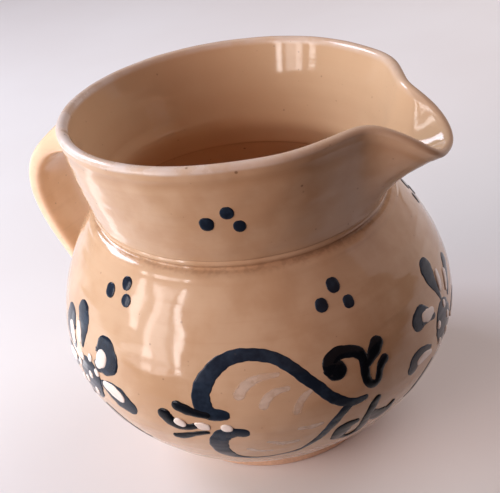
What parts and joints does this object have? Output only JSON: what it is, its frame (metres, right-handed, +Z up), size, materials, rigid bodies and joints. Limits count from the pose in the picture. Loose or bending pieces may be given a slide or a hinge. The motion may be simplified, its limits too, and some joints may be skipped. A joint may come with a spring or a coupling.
{
  "type": "ceramic jug",
  "caption": "Round-bellied glazed jug with a flared collar, a pulled pouring lip, a strap handle and raised slip hearts, flowers and dots.",
  "frame": {"origin": "centre of the flat underside of the foot", "axes": "+Z up along the turned body's axis, +X towards the pouring lip, so the handle is at -X"},
  "size_m": [0.1601, 0.1372, 0.1245],
  "materials": {
    "glazed_ceramic": "glossy honey-cream glaze"
  },
  "bodies": {
    "root": {"jug": "glazed_ceramic"}
  },
  "joints": []
}
